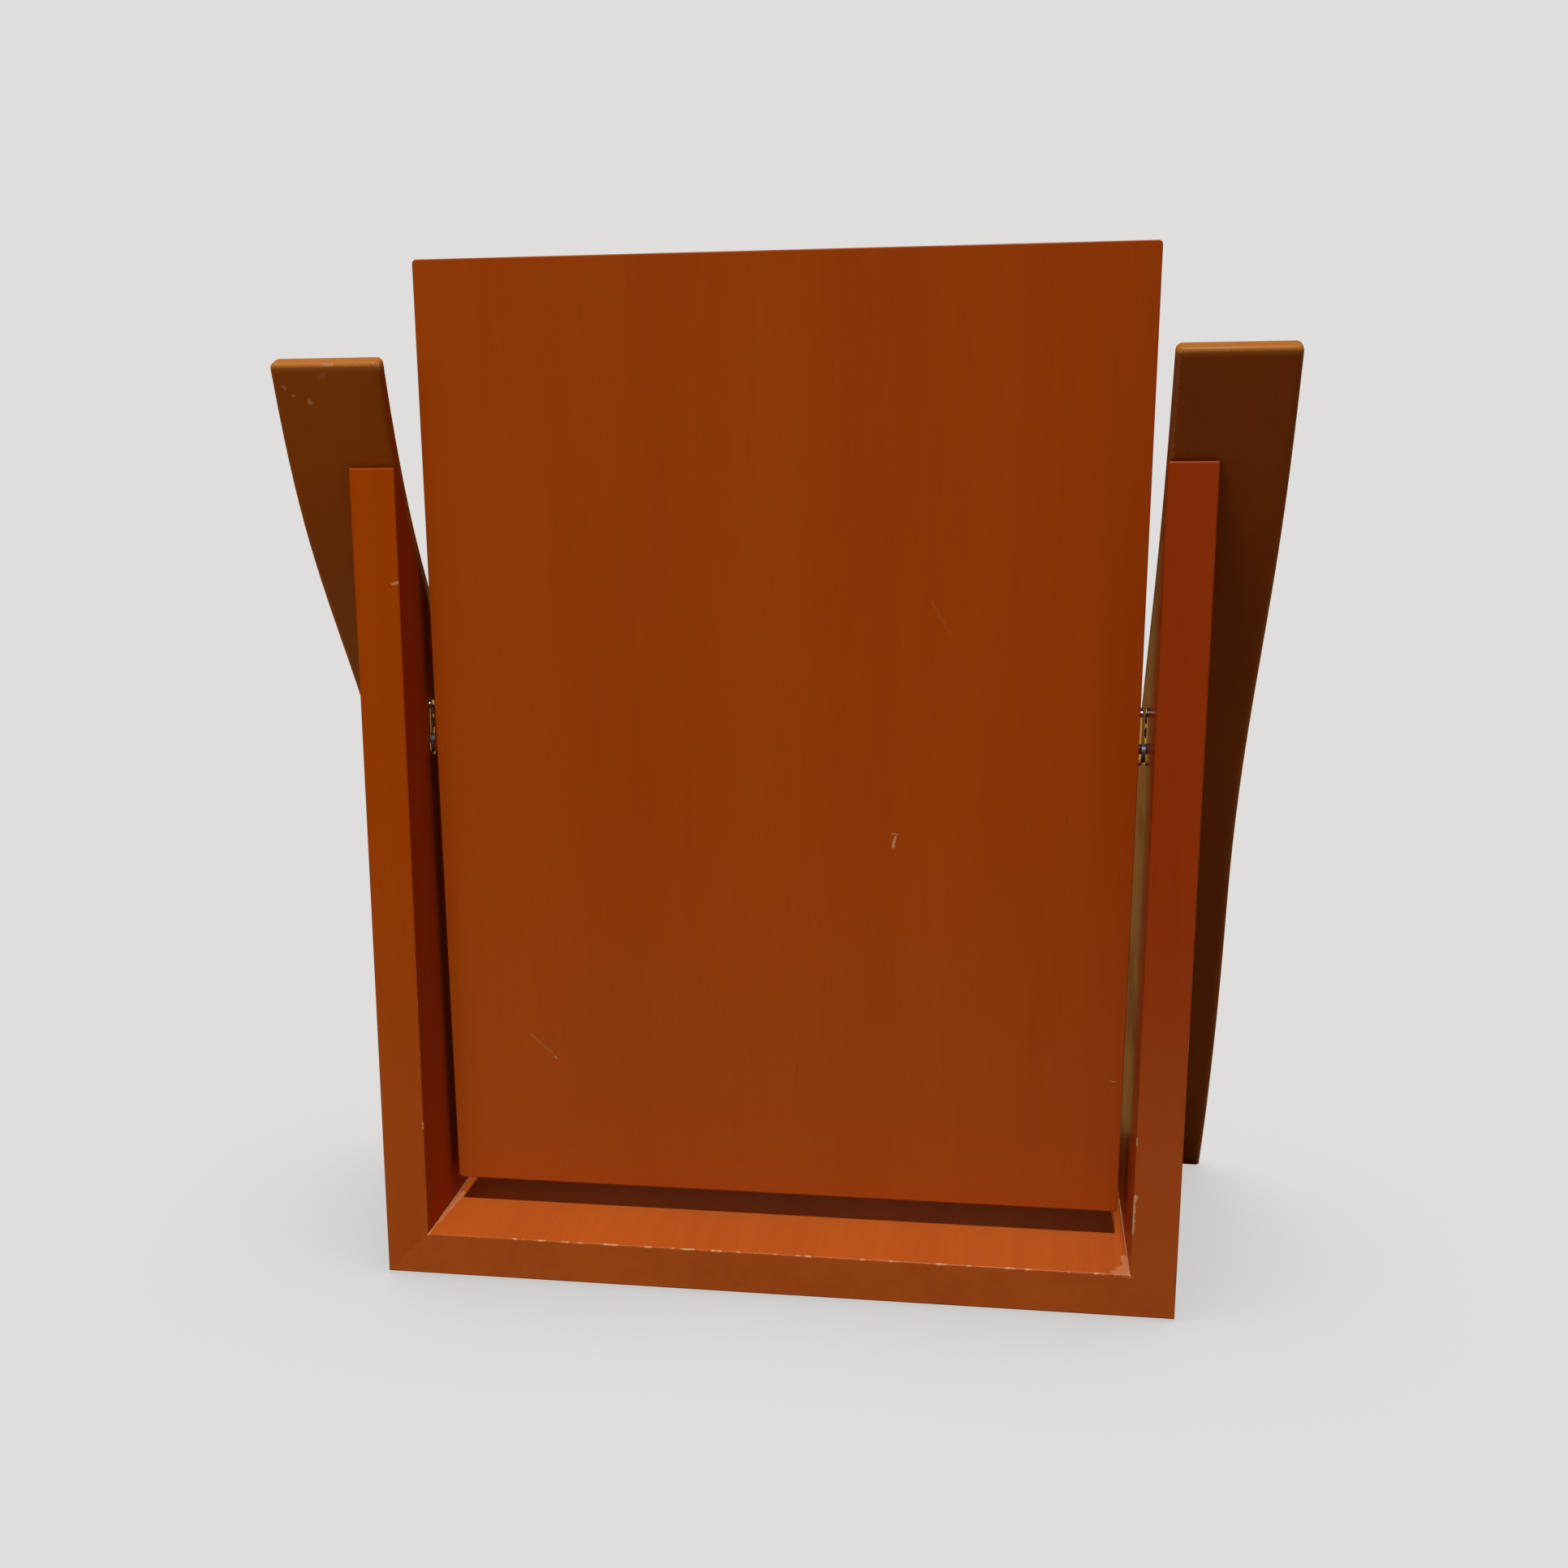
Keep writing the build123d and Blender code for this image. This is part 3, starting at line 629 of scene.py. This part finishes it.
# %% Finish: metals
def build_metal(name, colour, dull, smooth, rough, rings=0.0):
    """A metal with haze, dull spots and, where it was turned, tool marks round X."""
    made, tree, skin, place = start_material(name)
    haze = noise(tree, place, 220.0, 3.0, 0.6)
    spots = ranged(tree, noise(tree, place, 900.0, 2.0), 0.62, 0.72)
    tone = blend(tree, calc(tree, "MULTIPLY", spots, 0.5), colour, dull)
    roughness = ranged(tree, haze, 0.35, 0.7, smooth, rough)
    roughness = calc(tree, "ADD", roughness, calc(tree, "MULTIPLY", spots, 0.15), clamp=True)
    tool = noise(tree, vector_calc(tree, "MULTIPLY", place, (6000, 200, 200)).outputs[0], 1.0, 1.0)
    relief = bump(tree, tool, rings, 0.02 * MM)
    relief = bump(tree, haze, 0.1, 0.03 * MM, relief)
    tree.links.new(tone, skin.inputs["Base Color"])
    tree.links.new(roughness, skin.inputs["Roughness"])
    tree.links.new(relief, skin.inputs["Normal"])
    skin.inputs["Metallic"].default_value = 1.0
    return made


def both_sides(*parts):
    """The names of the left and right pieces of each part."""
    return [f"{part}_{side}" for part in parts for side in ("left", "right")]


chrome_plate = build_metal("chrome plate", (0.83, 0.83, 0.85, 1), (0.45, 0.43, 0.40, 1), 0.05, 0.16)
give(chrome_plate, *both_sides("pivot_plate", "mirror_plate"))
chrome_screw = build_metal("chrome screw", (0.85, 0.85, 0.87, 1), (0.40, 0.38, 0.35, 1), 0.04, 0.14)
give(chrome_screw, *both_sides("pivot_plate_screws", "mirror_plate_screws"))
steel = build_metal("turned steel", (0.58, 0.58, 0.59, 1), (0.35, 0.34, 0.32, 1), 0.18, 0.30, 0.5)
give(steel, *both_sides("pivot_pin"))
brass = build_metal("turned brass", (0.76, 0.56, 0.25, 1), (0.45, 0.32, 0.15, 1), 0.20, 0.34, 0.5)
give(brass, *both_sides("pivot_bush"))

# %% [markdown]
# ## Small soft and plain parts
# The washers are dark nylon, worn shiny. The biscuits and dowels are plain beech with short dark flecks.
# The felt pads are pressed brown wool, and the tape behind the glass is white foam with open pores. All
# four are a mix of two near colours with a fine bump, so one function serves them.

# %% Finish: nylon, beech, felt and foam
def build_plain(name, dark, light, scale, rough, stretch=(1, 1, 1), height=0.3, depth=0.2 * MM,
                sheen=0.0):
    """A dull material between two near colours, with a fine texture."""
    made, tree, skin, place = start_material(name)
    place = vector_calc(tree, "MULTIPLY", place, stretch).outputs[0]
    fine = noise(tree, place, scale, 4.0, 0.65)
    broad = noise(tree, place, scale * 0.08, 2.0)
    mixed = ranged(tree, calc(tree, "MULTIPLY", calc(tree, "ADD", fine, broad), 0.5), 0.35, 0.65)
    tree.links.new(blend(tree, mixed, dark, light), skin.inputs["Base Color"])
    tree.links.new(ranged(tree, fine, 0.3, 0.7, rough - 0.08, rough + 0.08), skin.inputs["Roughness"])
    tree.links.new(bump(tree, fine, height, depth), skin.inputs["Normal"])
    skin.inputs["Sheen Weight"].default_value = sheen
    return made


nylon = build_plain("dark nylon", (0.035, 0.030, 0.026, 1), (0.075, 0.068, 0.060, 1), 900, 0.38)
give(nylon, *both_sides("friction_washer"))
beech = build_plain("plain beech", (0.55, 0.34, 0.19, 1), (0.74, 0.54, 0.36, 1), 700, 0.6, (1, 0.12, 1))
give(beech, *both_sides("corner_biscuits", "slat_dowels"))
felt = build_plain(
    "pressed felt", (0.11, 0.065, 0.04, 1), (0.24, 0.16, 0.11, 1), 1600, 0.9, height=0.8,
    depth=0.5 * MM, sheen=0.3,
)
give(felt, "felt_pads")
foam = build_plain("foam tape", (0.70, 0.70, 0.68, 1), (0.86, 0.86, 0.84, 1), 2200, 0.8, height=0.6)
give(foam, "mounting_tape")

# %% [markdown]
# ## Floor and surroundings
# The studio is pale and plain. What the camera sees directly, or in the sharp mirror, is one pale tone,
# with a soft contact shadow round the stand's foot that comes from ambient occlusion. Lighting so bright
# a room for real would wash the stain out, so other rays see a dimmer room: grey for diffuse light, dark
# for blurred reflections, and a warm brown floor in them. The Light Path node tells the rays apart.

# %% Stage: the pale tone
PALE = (0.745, 0.730, 0.716, 1)
CONTACT = (0.58, 0.565, 0.55, 1)
CONTACT_REACH = 0.22


def seen_directly(tree):
    """1 for rays from the camera and for rays mirrored sharply, 0 for the rest."""
    path = tree.nodes.new("ShaderNodeLightPath").outputs
    return calc(tree, "MAXIMUM", path["Is Camera Ray"], path["Is Singular Ray"])


def blurred(tree):
    """1 for rays reflected by a dull or half-dull surface."""
    return tree.nodes.new("ShaderNodeLightPath").outputs["Is Glossy Ray"]


print("pale tone:", PALE[:3])

# %% Stage: floor
RING_RADII = (0.6, 1.5, 4.0, 12.0, 60.0)
SPOKES = 72
FLOOR_IN_DIFFUSE = (0.20, 0.18, 0.16, 1)
FLOOR_IN_BLURRED = (0.52, 0.27, 0.065, 1)


def build_floor():
    """A wide round floor of rings, with finer faces near the stand."""
    points = [(0.0, 0.0, 0.0)]
    faces = []
    for ring, radius in enumerate(RING_RADII):
        for step in range(SPOKES):
            turn = 2 * math.pi * step / SPOKES
            points.append((radius * math.cos(turn), radius * math.sin(turn), 0.0))
            here = 1 + ring * SPOKES + step
            after = 1 + ring * SPOKES + (step + 1) % SPOKES
            if ring == 0:
                faces.append((0, here, after))
            else:
                faces.append((here - SPOKES, here, after, after - SPOKES))
    mesh = bpy.data.meshes.new("floor")
    mesh.from_pydata(points, [], faces)
    made = bpy.data.objects.new("floor", mesh)
    bpy.context.scene.collection.objects.link(made)
    return made


def build_floor_finish():
    made = bpy.data.materials.new("pale floor")
    made.use_nodes = True
    tree = made.node_tree
    tree.nodes.clear()
    reach = node(tree, "AmbientOcclusion", {"Distance": CONTACT_REACH}, samples=8).outputs["AO"]
    tone = blend(tree, ranged(tree, reach, 0.35, 1.0), CONTACT, PALE)
    pale = node(tree, "Emission", {"Color": tone}).outputs[0]
    bounce = blend(tree, blurred(tree), FLOOR_IN_DIFFUSE, FLOOR_IN_BLURRED)
    dim = node(tree, "BsdfDiffuse", {"Color": bounce}).outputs[0]
    mixed = node(tree, "MixShader", {0: seen_directly(tree), 1: dim, 2: pale}).outputs[0]
    node(tree, "OutputMaterial", {"Surface": mixed})
    return made


floor = build_floor()
floor.data.materials.append(build_floor_finish())
print("floor radius:", RING_RADII[-1], "m")

# %% Stage: world
DIFFUSE_ROOM = ((0.165, 0.165, 0.165, 1), (0.135, 0.135, 0.135, 1))
BLURRED_ROOM = ((0.04, 0.03, 0.015, 1), (0.012, 0.010, 0.006, 1))


def build_world():
    """A room that differs by the kind of ray. Each pair of tones goes from the -Y side to the +Y side."""
    made = bpy.data.worlds.new("studio")
    made.use_nodes = True
    tree = made.node_tree
    tree.nodes.clear()
    direction = tree.nodes.new("ShaderNodeTexCoord").outputs["Generated"]
    depth = node(tree, "SeparateXYZ", {0: direction}).outputs["Y"]
    diffuse = blend(tree, ranged(tree, depth, -0.6, 0.6), *DIFFUSE_ROOM)
    glossy = blend(tree, ranged(tree, depth, -0.5, 0.3), *BLURRED_ROOM)
    room = blend(tree, blurred(tree), diffuse, glossy)
    shown = blend(tree, seen_directly(tree), room, PALE)
    background = node(tree, "Background", {"Color": shown}).outputs[0]
    node(tree, "OutputWorld", {"Surface": background})
    return made


bpy.context.scene.world = build_world()
print("world:", bpy.context.scene.world.name)

# %% [markdown]
# ## Light
# A lamp high behind the stand is the key light. It is a sun lamp with a small angle, which gives the
# crisp shadow that the mirror's lower edge throws on the base. A soft panel on the same side, towards
# +X, lights the veneer more evenly. A weak, low fill from the glass side keeps the front from going
# flat. The fill and the panel are hidden from reflections, so that they leave no pale patches on the
# lacquer.

# %% Light: key, fill and panel
def add_lamp(name, lamp, towards):
    """Adds a lamp that stands in the given direction from what it lights."""
    made = bpy.data.objects.new(name, lamp)
    bpy.context.scene.collection.objects.link(made)
    made.rotation_euler = towards.to_track_quat("Z", "Y").to_euler()
    return made


def sun(name, strength, azimuth, elevation, angle):
    """A sun lamp. Azimuth is the direction it stands in, 0 at +Y and 90 at +X, in degrees."""
    lamp = bpy.data.lights.new(name, "SUN")
    lamp.energy = strength
    lamp.angle = math.radians(angle)
    turn, rise = math.radians(azimuth), math.radians(elevation)
    towards = Vector((math.sin(turn) * math.cos(rise), math.cos(turn) * math.cos(rise), math.sin(rise)))
    return add_lamp(name, lamp, towards)


def soft_panel(name, power, place, aim, size):
    """A square soft light at a place, turned to what it lights."""
    lamp = bpy.data.lights.new(name, "AREA")
    lamp.energy = power
    lamp.size = size
    made = add_lamp(name, lamp, Vector(place) - Vector(aim))
    made.location = place
    made.visible_camera = False
    return made


sun("key light", 2.5, azimuth=0, elevation=70, angle=3.0)
front_fill = sun("front fill", 0.5, azimuth=180, elevation=10, angle=5.0)
front_fill.visible_glossy = False
side_light = soft_panel("side light", 1.6, place=(0.45, 1.25, 0.75), aim=(0, 0.08, 0.35), size=0.5)
side_light.visible_glossy = False

# %% [markdown]
# ## Camera
# The stand is seen from its rear, from a little above and from its left. The camera's place and turns
# are given in the frame's own metres and degrees. The small shift moves the object in the picture
# without changing how it is seen.

# %% Camera
CAMERA_PLACE = (-0.1380, 1.2526, 0.5395)
CAMERA_TURN = math.radians(189.64)
CAMERA_TILT = math.radians(76.44)
CAMERA_ROLL = math.radians(-0.65)
lens_data = bpy.data.cameras.new("camera")
lens_data.sensor_width = 36.0
lens_data.lens = 43.95
lens_data.shift_x = 0.0645
lens_data.shift_y = 0.0693
camera = bpy.data.objects.new("camera", lens_data)
bpy.context.scene.collection.objects.link(camera)
aimed = Matrix.Rotation(CAMERA_TURN, 4, "Z") @ Matrix.Rotation(CAMERA_TILT, 4, "X")
camera.matrix_world = Matrix.Translation(CAMERA_PLACE) @ aimed @ Matrix.Rotation(CAMERA_ROLL, 4, "Z")
bpy.context.scene.camera = camera
bpy.context.scene.view_settings.view_transform = "Standard"
print("camera at", CAMERA_PLACE)
